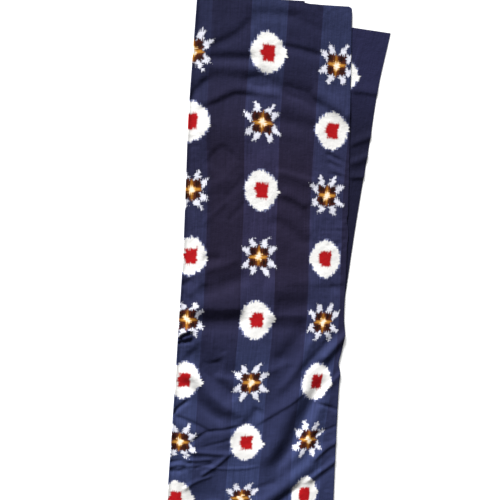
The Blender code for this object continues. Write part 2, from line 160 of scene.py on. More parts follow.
# Ridges (rise above 0) and troughs (below 0), with the widths of their flanks towards the far end (up)
# and the near end (down), and the points (x, y) that each one runs through.
Crease = namedtuple("Crease", "name rise up down path")
FACE_CREASES = (
    Crease("far ridge", 0.5, 9, 7, ((-74, 470), (-33, 470), (10, 470), (68, 470))),
    Crease("far trough", -0.7, 6, 9, ((-76, 457), (-30, 457), (4, 457), (24, 458))),
    Crease("far right slant", -0.6, 7, 10, ((-10, 458), (20, 450), (52, 438), (70, 432))),
    Crease(
        "shoulder trough", -1.7, 7, 12,
        ((-134, 393), (-118, 403), (-97, 415), (-79, 428), (-63, 444), (-50, 456)),
    ),
    Crease("left bar", -3.0, 9, 10, ((-136, 384), (-122, 383), (-92, 384), (-62, 385), (-46, 387))),
    Crease("right bar", -1.7, 5, 9, ((-20, 410), (-7, 408), (20, 404), (43, 399), (64, 393))),
    Crease(
        "great arc left", -2.7, 13, 34,
        (
            (-158, 304), (-150, 322), (-142, 336), (-134, 344), (-122, 350), (-98, 352), (-78, 351),
            (-48, 349), (-20, 345),
        ),
    ),
    Crease(
        "great arc", -2.5, 13, 12,
        (
            (-78, 351), (-48, 349), (-28, 346), (-9, 341), (6, 336), (27, 330), (43, 325), (60, 317),
            (76, 306),
        ),
    ),
    Crease(
        "arc left bank", 1.2, 11, 4.5,
        ((-172, 300), (-160, 320), (-151, 335), (-140, 348), (-122, 357)),
    ),
    Crease(
        "arc left end", -0.55, 4.5, 7,
        ((-164, 296), (-152, 318), (-143, 332), (-132, 343), (-114, 351)),
    ),
    Crease(
        "arc ridge", 1.1, 9, 5,
        (
            (-142, 303), (-130, 308), (-114, 317), (-98, 325), (-85, 332), (-70, 333), (-54, 332),
            (-35, 331), (-10, 329), (10, 322),
        ),
    ),
    Crease(
        "lower arc", -2.6, 9, 55,
        (
            (-150, 290), (-134, 299), (-116, 307), (-100, 316), (-86, 323), (-72, 325), (-54, 323),
            (-38, 320),
        ),
    ),
    Crease("arc right bank", -1.4, 15, 12, ((-10, 338), (12, 333), (34, 325), (56, 312), (70, 298))),
    Crease("right shoulder", 2.6, 16, 9, ((40, 336), (62, 326), (84, 316), (104, 303), (120, 287))),
    Crease("upper swell", -1.9, 13, 14, ((-18, 290), (10, 284), (35, 279), (64, 271))),
    Crease("left swell", 2.8, 90, 32, ((-150, 270), (-128, 274), (-85, 275), (-44, 271))),
    Crease(
        "peak", -1.4, 6, 26,
        (
            (-126, 198), (-119, 213), (-111, 226), (-103, 235), (-98, 237.5), (-91, 233), (-80, 223),
            (-68, 211),
        ),
    ),
    Crease("left low swell", 0.9, 9, 11, ((-132, 162), (-112, 171), (-96, 180), (-80, 190))),
    Crease("left inner dip", -0.8, 6, 8, ((-94, 150), (-80, 163), (-66, 180), (-56, 194))),
    Crease("fine ridge", 1.4, 5, 9, ((-12, 201), (3, 199), (24, 194), (45, 189), (68, 185))),
    Crease("first edge wrinkle", -1.3, 3.5, 4.5, ((74, 236), (86, 231), (104, 223), (122, 213))),
    Crease("second edge wrinkle", -1.3, 3.5, 4.5, ((78, 222), (90, 217), (108, 209), (126, 201))),
    Crease("third edge wrinkle", -1.0, 3.5, 5, ((82, 203), (98, 198), (116, 193), (132, 189))),
    Crease("slant bank", 1.2, 12, 6, ((0, 163), (14, 161), (28, 156), (44, 147), (54, 138))),
    Crease(
        "slant trough", -1.35, 9, 11,
        ((-14, 155), (2, 151), (22, 146), (34, 138), (45, 130), (53, 118), (60, 100)),
    ),
    Crease(
        "broad hollow", -1.7, 10, 12,
        ((-12, 123), (10, 109), (24, 101), (34, 90), (52, 80), (70, 75)),
    ),
    Crease("left faint ridge", 0.6, 5, 5, ((-130, 101), (-118, 114), (-96, 137), (-84, 150))),
    Crease("left faint dip", -0.75, 5, 6, ((-86, 109), (-74, 122), (-62, 137), (-52, 149))),
    Crease("left pocket", -1.5, 8, 8, ((-126, 42), (-108, 44), (-90, 44))),
    Crease("left edge shade", 1.4, 6, 16, ((-184, 10), (-160, 11), (-146, 12), (-130, 15), (-112, 20))),
    Crease("upper left bank", 1.2, 8, 8, ((-124, 20), (-100, 29), (-84, 35), (-60, 47))),
    Crease(
        "upper left hollow", -2.6, 16, 14,
        ((-134, -24), (-112, -14), (-92, -6), (-78, 0), (-56, 10), (-34, 20)),
    ),
    Crease("edge swell", 1.3, 8, 8, ((-150, -26), (-136, -12), (-126, -2), (-114, 8))),
    Crease("edge notch", -1.2, 5, 6, ((-176, -12), (-160, -4), (-150, 0), (-138, 8))),
    Crease("gully shoulder", 3.4, 32, 12, ((-144, -42), (-104, -42), (-78, -41), (-40, -39))),
    Crease("left gully", -3.9, 14, 20, ((-146, -73), (-112, -73), (-86, -72), (-62, -69), (-34, -66))),
    Crease("right upper swell", 2.0, 22, 24, ((-24, -2), (16, -2), (60, 0), (104, 2))),
    Crease("right hollow", -2.3, 22, 12, ((4, -44), (26, -42), (46, -38), (76, -32))),
    Crease("right gully edge", 0.5, 3.5, 8, ((-14, -54), (8, -55), (32, -55), (62, -55), (80, -56))),
    Crease("right gully", -3.1, 18, 16, ((-8, -76), (30, -76), (60, -74), (76, -72))),
    Crease("right edge notch", -1.4, 6, 7, ((100, -1), (120, -3), (134, -5), (148, -6))),
    Crease("right level dip", -0.5, 5, 9, ((10, -4), (50, -2), (90, -3), (128, -5))),
    Crease(
        "right slant hollow", -3.0, 14, 20,
        ((70, -74), (52, -100), (43, -114), (31, -130), (6, -146)),
    ),
    Crease("cross ridge", 1.2, 8, 7, ((-12, -163), (8, -158), (26, -150), (44, -140))),
    Crease(
        "inner slant ridge", 2.2, 8, 9,
        ((92, -78), (79, -98), (70, -117), (61, -140), (52, -160), (40, -176), (30, -189), (16, -207)),
    ),
    Crease(
        "inner slant trough", -1.8, 7, 7,
        ((122, -84), (102, -110), (88, -128), (76, -144), (58, -168)),
    ),
    Crease(
        "right fold ridge", 3.3, 7, 9,
        ((156, -74), (132, -99), (117, -117), (105, -131), (93, -145)),
    ),
    Crease(
        "right fold trough", -1.8, 8, 8,
        ((158, -90), (138, -110), (126, -127), (116, -143), (104, -168)),
    ),
    Crease(
        "right low ridge", 1.9, 4, 7,
        ((146, -152), (129, -172), (120, -182), (112, -194), (102, -207), (90, -224)),
    ),
    Crease("corner roll", 4.5, 8, 18, ((-186, -86), (-160, -86), (-146, -88), (-130, -92))),
    Crease("corner fold", 1.5, 3, 3, ((-176, -97), (-160, -94), (-148, -88), (-136, -82))),
    Crease("corner tuck", -2.4, 3, 3.5, ((-180, -104), (-161, -101), (-148, -95), (-134, -89))),
    Crease("corner tuck below", -2.4, 3, 4, ((-180, -112), (-161, -111), (-146, -107), (-132, -101))),
    Crease(
        "left upper basin", -4.0, 22, 18,
        ((-146, -124), (-128, -138), (-112, -149), (-92, -154), (-76, -157)),
    ),
    Crease(
        "short ridge", 0.6, 4, 3.5,
        ((-122, -171), (-113, -161), (-104, -152), (-94, -142), (-83, -133), (-68, -124)),
    ),
    Crease(
        "basin rim", -2.6, 17, 8,
        ((-104, -142), (-95, -156), (-85, -163), (-70, -166), (-55, -165), (-40, -162)),
    ),
    Crease(
        "left basin", -3.8, 11, 14,
        ((-122, -146), (-107, -165), (-95, -180), (-80, -191), (-65, -203), (-48, -214)),
    ),
    Crease(
        "left ridge", 5.0, 9, 18,
        ((-138, -144), (-122, -174), (-112, -190), (-103, -203), (-84, -220), (-65, -235), (-48, -251)),
    ),
    Crease(
        "left trough", -3.6, 18, 10,
        ((-156, -170), (-140, -190), (-128, -204), (-114, -227), (-94, -244), (-76, -256), (-58, -264)),
    ),
    Crease(
        "left tuck", -2.5, 3.5, 3.5,
        ((-178, -261), (-163, -244), (-155, -234), (-146, -226), (-134, -215)),
    ),
    Crease(
        "left edge crease", -1.8, 4, 7,
        ((-172, -246), (-152, -253), (-135, -259), (-120, -266), (-105, -274), (-92, -281)),
    ),
    Crease(
        "thin crease", -1.7, 3, 6,
        (
            (-142, -308), (-122, -293), (-104, -280), (-93, -276.5), (-71, -274), (-53, -270),
            (-34, -265),
        ),
    ),
    Crease(
        "faint crease", -0.9, 3, 4,
        ((-114, -311), (-100, -307), (-82, -301), (-66, -296), (-52, -291)),
    ),
    Crease(
        "near left bar", 1.8, 5, 5,
        ((-140, -319), (-112, -320), (-92, -321), (-68, -322), (-46, -321)),
    ),
    Crease("near left bar below", 1.3, 3, 3, ((-142, -335), (-122, -336), (-106, -335), (-88, -333))),
    Crease(
        "near left ridge", 2.2, 4, 3.5,
        ((-56, -318), (-70, -333), (-81, -344), (-92, -353), (-104, -363), (-116, -373)),
    ),
    Crease(
        "near left edge ridge", 1.4, 4, 3.5,
        ((-84, -364), (-98, -371), (-114, -377.5), (-125, -384), (-133, -391), (-144, -402)),
    ),
    Crease(
        "long fine ridge", 0.9, 2.5, 3,
        ((-156, -345), (-110, -348), (-60, -352), (-24, -350), (6, -344)),
    ),
    Crease("short near crease", -1.2, 3, 3, ((-124, -352), (-109, -348), (-98, -345), (-86, -340))),
    Crease("near edge tuck", -1.6, 3, 3.5, ((-184, -338), (-168, -340), (-154, -339), (-142, -334))),
    Crease("near edge fold", 0.8, 3, 3, ((-184, -349), (-166, -349), (-150, -346), (-138, -342))),
    Crease("near edge dip", -1.6, 4, 5, ((-178, -358), (-158, -359), (-147, -357), (-134, -353))),
    Crease(
        "diagonal ridge", 1.7, 12, 3.5,
        (
            (-22, -269), (-8, -259), (4, -250), (16, -242), (28, -233), (40, -225), (50, -217),
            (64, -204), (76, -190),
        ),
    ),
    Crease("near left slope", 2.6, 30, 45, ((-200, -266), (-150, -270), (-96, -276), (-46, -282))),
    Crease("middle spot", 1.0, 9, 9, ((-62, -214), (-52, -232), (-44, -252))),
    Crease("middle dip", -2.4, 9, 15, ((-38, -276), (-28, -259), (-18, -245), (-8, -228))),
    Crease(
        "trough crest", 4.6, 22, 18,
        (
            (76, -174), (61, -207), (50, -230), (42, -250), (35, -268), (31, -283), (23, -303),
            (14, -321), (5, -339), (-7, -357),
        ),
    ),
    Crease(
        "deep trough", -4.8, 17, 10,
        (
            (108, -166), (93, -206), (83, -229), (75, -249), (67, -267), (60, -285), (52, -310),
            (42, -328), (32, -345), (20, -366),
        ),
    ),
    Crease(
        "trough bank", 2.6, 10, 12,
        ((120, -192), (106, -226), (96, -254), (84, -284), (71, -312), (59, -334), (43, -358)),
    ),
    Crease(
        "right thin crease", -1.4, 3, 4,
        ((94, -221), (107, -225), (120, -230), (134, -235), (148, -240)),
    ),
    Crease("right faint crease", -1.1, 3, 4, ((92, -287), (108, -280), (122, -274), (142, -265))),
    Crease(
        "bright ridge start", 2.3, 9, 4,
        ((158, -288), (140, -300), (124, -310), (108, -323), (94, -341)),
    ),
    Crease(
        "bright ridge", 3.6, 12, 14,
        (
            (118, -314), (102, -329), (92, -343), (75, -360), (60, -373), (48, -387), (34, -399),
            (20, -411), (4, -424), (-20, -444),
        ),
    ),
    Crease("ridge hollow", -2.8, 7, 8, ((84, -382), (66, -397), (50, -410), (34, -424), (10, -446))),
    Crease(
        "second ridge", 2.1, 5, 6,
        ((156, -323), (137, -340.5), (124, -351.5), (112, -360), (100, -369), (78, -386)),
    ),
    Crease(
        "second hollow", -0.9, 5, 8,
        ((156, -335), (136, -351), (122, -362), (108, -378), (92, -397)),
    ),
    Crease("near left hollow", -3.6, 36, 12, ((-152, -428), (-124, -422), (-96, -415), (-64, -408))),
    Crease("near lens", -0.9, 6, 6, ((-14, -395), (4, -389), (18, -384), (34, -379))),
)
FLAP_CREASES = (
    Crease("flap step", 1.5, 14, 4.5, ((96, 341), (130, 341), (150, 339), (170, 338))),
    Crease("flap upper ridge", 1.8, 8, 5, ((98, 240), (118, 250), (134, 257), (150, 264), (170, 272))),
    Crease("flap broad ridge", 2.0, 6, 8, ((98, 207), (118, 218), (134, 224), (146, 230), (164, 238))),
    Crease("flap lower ridge", 1.7, 8, 4, ((98, 192), (119, 194.5), (141, 196), (162, 199))),
)
PATH_STEPS = 32
CREST_BLUR = 0.5
END_FADE = 0.2
LEAST_LIFT = 0.3

# The flap's creases fade in past the right fold, beside which it stands a little off the table.
FLAP_SHOWN = 8.0
FLAP_LEAN = 1.0
FLAP_LEAN_REACH = 40.0

# Patches that are crumpled finely, with their half sizes and the height of the crumples, and the gentle
# unevenness that the whole cloth keeps after washing.
Crumple = namedtuple("Crumple", "name x y half_x half_y rise")
CRUMPLES = (
    Crumple("far corner", 62, 471, 46, 10, 0.5),
    Crumple("left band", -142, 236, 18, 34, 0.4),
    Crumple("right edge", 122, 66, 12, 62, 0.6),
    Crumple("right band", 96, 98, 34, 22, 0.8),
    Crumple("upper left edge", -144, -12, 20, 20, 0.6),
    Crumple("upper right band", 104, -18, 30, 16, 0.4),
    Crumple("left edge", -150, -104, 16, 18, 1.6),
    Crumple("left middle", -96, -110, 40, 30, 0.4),
    Crumple("low right edge", 118, -300, 22, 42, 0.6),
    Crumple("low left", -100, -332, 34, 14, 0.5),
    Crumple("near left edge", -150, -348, 24, 20, 1.1),
    Crumple("near right edge", 118, -400, 26, 40, 0.5),
)
CRUMPLE_GRAIN = 8.0
UNEVEN_GRAIN = 26.0
UNEVEN_RISE = 0.45

# Where the woven motifs lie on the face: the middles of each row's three motifs, as x and y. An even
# layout starts at the first motif, and each motif drifts from it where the cloth is pulled or bunched.
PITCH = 115.0
Row = namedtuple("Row", "left middle right")
ROWS = (
    Row((-153.6, 391.1), (-32.3, 396.0), (82.9, 381.5)),
    Row((-154.8, 278.0), (-34.2, 281.8), (84.9, 272.3)),
    Row((-147.1, 164.3), (-29.7, 168.4), (84.5, 162.2)),
    Row((-145.2, 48.3), (-27.0, 50.5), (90.4, 50.3)),
    Row((-146.3, -67.5), (-24.6, -63.8), (95.1, -66.1)),
    Row((-148.6, -179.4), (-29.0, -181.8), (92.0, -179.6)),
    Row((-151.6, -299.1), (-30.4, -299.9), (84.8, -292.3)),
    Row((-155.7, -413.7), (-33.3, -412.0), (85.6, -405.5)),
)
FIRST_MOTIF = (-145.5, 393.5)
DRIFT_ROUNDS = 6

# The flap's selvedge, in pitches from the first motif across (u) and along (v) the cloth.
FLAP_EDGE_U = 5.583
FLAP_SKEW_U = 0.045
FLAP_SKEW_END = 240.0
FLAP_EDGE_FAR_V = -0.677

# How finely each layer is divided, and how many triangles are kept once the hidden ones are thinned.
# Each face of the sheet makes two triangles on each side of the cotton.
STATIONS = 424
UNDER_STEPS = 8
FOLD_STEPS = 6
FACE_STEPS = 122
SECOND_STEPS = 8
FLAP_STEPS = 40
HIDDEN_MARGIN = 12.0
TRIANGLES = 192000
TRIANGLES_A_FACE = 4.0
SMOOTH_UNDER = math.radians(50)


def smooth_step(t):
    """Runs from 0 to 1, level at both ends."""
    t = np.clip(t, 0.0, 1.0)
    return t * t * (3.0 - 2.0 * t)


def through(knots, values, at):
    """A smooth curve through the values at the knots, read at other places."""
    knots = np.asarray(knots, float)
    values = np.asarray(values, float)
    slopes = np.gradient(values, knots)
    knot = np.clip(np.searchsorted(knots, at) - 1, 0, len(knots) - 2)
    stretch = knots[knot + 1] - knots[knot]
    t = (at - knots[knot]) / stretch
    start = (1 + 2 * t) * (1 - t) ** 2 * values[knot] + t * (1 - t) ** 2 * stretch * slopes[knot]
    end = t * t * (3 - 2 * t) * values[knot + 1] - t * t * (1 - t) * stretch * slopes[knot + 1]
    return start + end


def crease_path(points):
    """The crease's own points joined by a smooth curve."""
    points = np.asarray(points, float)
    steps = np.hypot(*np.diff(points, axis=0).T)
    knots = np.concatenate(([0.0], np.cumsum(steps)))
    at = np.linspace(0.0, knots[-1], PATH_STEPS + 1)
    return np.column_stack([through(knots, points[:, axis], at) for axis in (0, 1)])


def crease_height(crease, x, y):
    """Height that one ridge or trough adds at x, y: a rounded profile that fades out at both ends."""
    path = crease_path(crease.path)
    nearest = np.full(x.shape, np.inf)
    side = np.zeros(x.shape)
    place = np.zeros(x.shape)
    for step in range(PATH_STEPS):
        (x0, y0), (x1, y1) = path[step], path[step + 1]
        dx, dy = x1 - x0, y1 - y0
        t = np.clip(((x - x0) * dx + (y - y0) * dy) / (dx * dx + dy * dy), 0.0, 1.0)
        off_x, off_y = x - x0 - t * dx, y - y0 - t * dy
        off = np.hypot(off_x, off_y)
        closer = off < nearest
        nearest = np.where(closer, off, nearest)
        side = np.where(closer, off_y, side)
        place = np.where(closer, (step + t) / PATH_STEPS, place)
    far_side = smooth_step(0.5 + side / (nearest + CREST_BLUR))
    width = crease.down + (crease.up - crease.down) * far_side
    fade = smooth_step(place / END_FADE) * smooth_step((1.0 - place) / END_FADE)
    return crease.rise * fade * np.exp(-((nearest / width) ** 2))


def relief(creases, x, y):
    """Height that all the ridges and troughs of one table add at x, y."""
    return sum(crease_height(crease, x, y) for crease in creases)


def rumpled(x, y, grain):
    """Uneven height between about -1 and 1, in bumps of one grain."""
    height = [noise.noise((px / grain, py / grain, grain)) for px, py in np.broadcast(x, y)]
    return np.reshape(height, np.broadcast(x, y).shape)


def crumpled(x, y):
    """The cloth's gentle unevenness, and the fine crumples of its crumpled patches."""
    height = UNEVEN_RISE * rumpled(x, y, UNEVEN_GRAIN)
    fine = rumpled(x, y, CRUMPLE_GRAIN)
    for patch in CRUMPLES:
        off_x = (x - patch.x) / patch.half_x
        off_y = (y - patch.y) / patch.half_y
        height = height + patch.rise * fine * np.exp(-(off_x**2) - off_y**2)
    return height


def lifted(height):
    """Keeps a height just above 0, so that a trough comes down to the layer below and no further."""
    return 0.5 * (height + np.sqrt(height * height + LEAST_LIFT**2))


# Everything along the cloth is worked out at even stations, from the far cut to the near one.
along = np.linspace(0.0, CUT_LENGTH, STATIONS + 1)[:, None]
face_y = FAR_END - along
knots = [section.along for section in SECTIONS]
left_fold = through(knots, [section.left_fold for section in SECTIONS], along)
right_fold = through(knots, [section.right_fold for section in SECTIONS], along)
flap_edge = through(knots, [section.flap_edge for section in SECTIONS], along)
loft = through(knots, [section.loft for section in SECTIONS], along)
part_way = along / CUT_LENGTH
flap_y = np.interp(part_way, (0, 1), FLAP_ENDS_Y)
inner_fold = np.interp(part_way, (0, 1), INNER_FOLD_X)
inner_y = np.interp(part_way, (0, 1), INNER_FOLD_Y)
inner_selvedge = np.interp(part_way, (0, 1), INNER_SELVEDGE_X)
for bulge in BULGES:
    right_fold += bulge.out * np.exp(-(((face_y - bulge.at_y) / bulge.half_length) ** 2))
short_of_corner = (1.0 - along / CORNER_RADIUS).clip(0.0, 1.0)
right_fold -= CORNER_RADIUS * (1.0 - np.sqrt(1.0 - short_of_corner**2))
near_cut = np.exp(-along / CUT_REACH)
floor_z = COTTON / 2


def on_under(x):
    """1 over the under layer, falling to 0 past its selvedge."""
    return smooth_step((inner_selvedge + EDGE_CLEARANCE + RAMP - x) / RAMP)


def on_pleat(x):
    """1 over the inner pleat, falling to 0 left of the inner fold."""
    return smooth_step((x - inner_fold + EDGE_CLEARANCE + RAMP) / RAMP)


def face_at(x):
    """The face's y and height at x, on every station, with its loft, creases and crumples."""
    dip = FACE_DIP * smooth_step((x - FACE_DIP_FROM_X) / (FACE_DIP_TO_X - FACE_DIP_FROM_X))
    y = face_y - dip * near_cut
    stack = LAYER_RISE * (1.0 + on_pleat(x) * (1.0 + on_under(x)))
    from_left = LEFT_EDGE_LOFT + (1.0 - LEFT_EDGE_LOFT) * smooth_step((x - left_fold) / PRESSED_LEFT)
    from_right = RIGHT_EDGE_LOFT + (1.0 - RIGHT_EDGE_LOFT) * smooth_step((right_fold - x) / PRESSED_RIGHT)
    puff = loft * from_left * from_right
    puff = puff + BEAD_RISE * np.exp(-(((x - left_fold) / BEAD_REACH) ** 2))
    return y, floor_z + stack + lifted(puff + relief(FACE_CREASES, x, y) + crumpled(x, y))


def second_at(x):
    """The layer under the face, which runs from the right fold to the inner fold."""
    t = (x - right_fold) / (inner_fold - right_fold)
    start_y = face_y - FACE_DIP * near_cut
    hump = SECOND_RISE * np.sin(np.pi * t) ** 2 * near_cut
    return start_y + t * (inner_y - start_y) + hump, floor_z + LAYER_RISE * (1.0 + on_under(x))


def flap_at(x):
    """The flap, which runs out again from the inner fold to the selvedge that shows."""
    t = (x - inner_fold) / (flap_edge - inner_fold)
    y = inner_y + t * (flap_y - inner_y)
    shown = smooth_step((x - right_fold) / FLAP_SHOWN)
    beside_fold = np.exp(-(x - right_fold).clip(0) / FLAP_LEAN_REACH)
    lean = FLAP_LEAN * smooth_step((x - inner_fold) / RAMP) * beside_fold
    bare = lifted(relief(FLAP_CREASES, x, y) + crumpled(x, y)) - lifted(0.0)
    return y, floor_z + LAYER_RISE * on_under(x) + lean * (1 - on_under(x)) + shown * bare


def under_at(x):
    """The layer that lies flat on the table."""
    return face_y + 0.0 * x, floor_z + 0.0 * x


def fold_arc(edge_x, outward, leaving, arriving):
    """A half round fold between two layers, and where along x it starts."""
    (start_y, start_z), (end_y, end_z) = leaving(edge_x), arriving(edge_x)
    radius = abs(end_z - start_z) / 2
    centre_x = edge_x - outward * (radius + COTTON / 2)
    turn = np.linspace(0.0, np.pi, FOLD_STEPS + 1)[1:-1]
    x = centre_x + outward * radius * np.sin(turn)
    y = start_y + (end_y - start_y) * turn / np.pi
    z = (start_z + end_z) / 2 + (start_z - end_z) / 2 * np.cos(turn)
    return (x, y, z), centre_x


def run(layer, start, end, steps):
    """One layer's places, evenly spread from start to end across the strip, on every station."""
    x = start + (end - start) * np.linspace(0.0, 1.0, steps + 1)
    return (x, *layer(x))


left_arc, left_x = fold_arc(left_fold, -1, under_at, face_at)
right_arc, right_x = fold_arc(right_fold, 1, face_at, second_at)
inner_arc, inner_x = fold_arc(inner_fold, -1, second_at, flap_at)
runs = (
    run(under_at, inner_selvedge, left_x, UNDER_STEPS),
    left_arc,
    run(face_at, left_x, right_x, FACE_STEPS),
    right_arc,
    run(second_at, right_x, inner_x, SECOND_STEPS),
    inner_arc,
    run(flap_at, inner_x, flap_edge, FLAP_STEPS),
)
stretches = [np.stack(np.broadcast_arrays(*places), axis=-1) for places in runs]
middle = np.concatenate(stretches, axis=1)


def face_motifs(x, y):
    """Cloth coordinates on the face, in motif pitches: whole numbers at the motifs' middles."""
    places = np.array([[row.left, row.middle, row.right] for row in ROWS])
    row_numbers = np.arange(len(ROWS))
    drift_x = places[:, :, 0] - (FIRST_MOTIF[0] + PITCH * np.arange(3))
    drift_y = places[:, :, 1] - (FIRST_MOTIF[1] - PITCH * row_numbers[:, None])
    u = (x - FIRST_MOTIF[0]) / PITCH
    v = (FIRST_MOTIF[1] - y) / PITCH
    for _ in range(DRIFT_ROUNDS):
        at_v = v.clip(0, len(ROWS) - 1)
        at_u = u.clip(0, 2)
        shift = []
        for drift in (drift_x, drift_y):
            left, centre, right = [through(row_numbers, drift[:, column], at_v) for column in range(3)]
            left_share = left * (1 - at_u) * (2 - at_u) / 2
            right_share = right * at_u * (at_u - 1) / 2
            shift.append(left_share + centre * at_u * (2 - at_u) + right_share)
        u = (x - FIRST_MOTIF[0] - shift[0]) / PITCH
        v = (FIRST_MOTIF[1] - y + shift[1]) / PITCH
    return u, v


# The dyer's coordinates, in pitches. On the face they follow the motifs, round the left fold they run
# on by the cloth's own length, and on the flap they are counted back from its selvedge.
first_face = UNDER_STEPS + FOLD_STEPS
last_face = first_face + FACE_STEPS
inner_column = last_face + 2 * FOLD_STEPS + SECOND_STEPS - 1
across = np.zeros(middle.shape[:2])
steps_x = np.diff(middle[..., 0], axis=1)
steps_z = np.diff(middle[..., 2], axis=1)
across[:, 1:] = np.cumsum(np.hypot(steps_x, steps_z) / PITCH, axis=1)
u = across.copy()
v = np.zeros_like(u)
on_face = slice(first_face, last_face + 1)
u[:, on_face], v[:, on_face] = face_motifs(middle[:, on_face, 0], middle[:, on_face, 1])
u[:, :first_face] = u[:, [first_face]] - (across[:, [first_face]] - across[:, :first_face])
v[:, :first_face] = v[:, [first_face]]
past_face = slice(last_face + 1, None)
on_flap_side = slice(inner_column + 1, None)
between = slice(last_face + 1, inner_column + 1)
face_end = across[:, [last_face]]
flap_edge_v = FLAP_EDGE_FAR_V + along * (FLAP_ENDS_Y[0] - FLAP_ENDS_Y[1]) / CUT_LENGTH / PITCH
reach = (across - face_end) / (across[:, [-1]] - face_end)
v[:, past_face] = (v[:, [last_face]] + (flap_edge_v - v[:, [last_face]]) * reach)[:, past_face]
flap_edge_u = FLAP_EDGE_U + FLAP_SKEW_U * smooth_step(along / FLAP_SKEW_END)
u[:, on_flap_side] = flap_edge_u - (across[:, [-1]] - across)[:, on_flap_side]
hidden_reach = (across - face_end) / (across[:, [inner_column]] - face_end)
hidden_u = u[:, [last_face]] + (u[:, [inner_column + 1]] - u[:, [last_face]]) * hidden_reach
u[:, between] = hidden_u[:, between]

# The sheet's mesh is the middle of the cotton, which then gets its thickness on both sides.
stations, places_across = middle.shape[:2]
number = np.arange(stations * places_across).reshape(stations, places_across)
corners = (number[:-1, :-1], number[1:, :-1], number[1:, 1:], number[:-1, 1:])
faces = np.stack(corners, axis=-1).reshape(-1, 4)
sheet_mesh = bpy.data.meshes.new("ikat_cloth")
sheet_mesh.from_pydata((middle.reshape(-1, 3) * MM).tolist(), [], faces.tolist())
uv_map = sheet_mesh.uv_layers.new(name=CLOTH_UV)
at_corner = faces.reshape(-1)
corner_uv = np.column_stack([u.reshape(-1)[at_corner], v.reshape(-1)[at_corner]])
uv_map.data.foreach_set("uv", corner_uv.reshape(-1))
sheet_mesh.update()
cloth = bpy.data.objects.new("ikat_cloth", sheet_mesh)
bpy.context.collection.objects.link(cloth)
bpy.ops.object.select_all(action="DESELECT")
bpy.context.view_layer.objects.active = cloth
cloth.select_set(True)
hidden = cloth.vertex_groups.new(name="hidden")
place_number = np.arange(places_across)
under_face = (middle[..., 0] < right_fold - HIDDEN_MARGIN) & (place_number > last_face)
unseen = under_face | (place_number < first_face - FOLD_STEPS)
hidden.add(number[unseen].tolist(), 1.0, "REPLACE")
thickness = cloth.modifiers.new("cotton thickness", "SOLIDIFY")
thickness.thickness = COTTON * MM
thickness.offset = 0.0
thickness.use_even_offset = True
thickness.shell_vertex_group = hidden.name
thinning = cloth.modifiers.new("fewer hidden faces", "DECIMATE")
thinning.vertex_group = hidden.name
thinning.ratio = TRIANGLES / (TRIANGLES_A_FACE * len(faces))
bpy.ops.object.modifier_apply(modifier=thickness.name)
bpy.ops.object.modifier_apply(modifier=thinning.name)
bpy.ops.object.shade_smooth_by_angle(angle=SMOOTH_UNDER)

# Dyeing and weaving: warp and weft are both tied and dyed before weaving, so each motif's edge steps
# and feathers with the yarns. Where both yarns are undyed the cloth is white, and where only one is, it
# is a pale blue.
NAVY_BAND = (0.0235, 0.029, 0.077, 1.0)
NAVY_GROUND = (0.0150, 0.0155, 0.044, 1.0)
PLUM_BAND = (0.0262, 0.0234, 0.062, 1.0)
PLUM_GROUND = (0.0165, 0.0130, 0.033, 1.0)
NEAR_BAND = (0.0350, 0.0465, 0.122, 1.0)
NEAR_GROUND = (0.0250, 0.0315, 0.085, 1.0)
FLAP_FAR = (0.0190, 0.0195, 0.059, 1.0)
# The flap's near colour is painted shade: the flap's ground darkened where the face's edge shades it.
FLAP_NEAR_PAINTED_SHADE = (0.0105, 0.0105, 0.030, 1.0)
HALF_DYED = (0.20, 0.22, 0.38, 1.0)
UNDYED = (0.845, 0.835, 0.815, 1.0)
PETAL = (0.735, 0.740, 0.830, 1.0)
RED = (0.41, 0.007, 0.010, 1.0)
MAROON = (0.040, 0.0065, 0.006, 1.0)
DEEP_MAROON = (0.010, 0.003, 0.004, 1.0)
RUST = (0.170, 0.042, 0.009, 1.0)
GOLD = (0.54, 0.24, 0.035, 1.0)
DULL_GOLD = (0.34, 0.13, 0.014, 1.0)
YELLOW = (0.90, 0.52, 0.16, 1.0)
CREAM = (1.0, 0.90, 0.74, 1.0)
COTTON_ROUGHNESS = 0.82
COTTON_SHINE = 0.1

dye = bpy.data.materials.new("double ikat cotton")
dye.use_nodes = True
tree = dye.node_tree
shader = tree.nodes["Principled BSDF"]
shader.inputs["Roughness"].default_value = COTTON_ROUGHNESS
shader.inputs["Specular IOR Level"].default_value = COTTON_SHINE

# The sockets for colours on a Mix node, among those that it has for numbers and vectors.
MIX_FIRST = 6
MIX_SECOND = 7
MIX_RESULT = 2


def put(socket, value):
    """Gives a socket a number, a colour, or what another node works out."""
    if isinstance(value, bpy.types.NodeSocket):
        tree.links.new(value, socket)
    else:
        socket.default_value = value


def calc(operation, *values, clamp=False):
    """A Math node, with numbers or sockets for its inputs."""
    node = tree.nodes.new("ShaderNodeMath")
    node.operation = operation
    node.use_clamp = clamp
    for socket, value in zip(node.inputs, values):
        put(socket, value)
    return node.outputs[0]


def add(a, b):
    return calc("ADD", a, b)


def sub(a, b):
    return calc("SUBTRACT", a, b)


def mul(a, b):
    return calc("MULTIPLY", a, b)


def divide(a, b):
    return calc("DIVIDE", a, b)


def absolute(a):
    return calc("ABSOLUTE", a)


def floor(a):
    return calc("FLOOR", a)


def both(a, b):
    """Where two marks overlap."""
    return calc("MINIMUM", a, b)


def either(a, b):
    """Where at least one of two marks is."""
    return calc("MAXIMUM", a, b)


def inside(limit, value, soft):
    """1 where the value is under the limit, 0 where it is over, with an edge as wide as soft.

    A soft below 0 turns it round, to 1 over the limit.
    """
    return calc("ADD", divide(sub(limit, value), soft), 0.5, clamp=True)


def vector(x, y, z=0.0):
    node = tree.nodes.new("ShaderNodeCombineXYZ")
    for socket, value in zip(node.inputs, (x, y, z)):
        put(socket, value)
    return node.outputs[0]


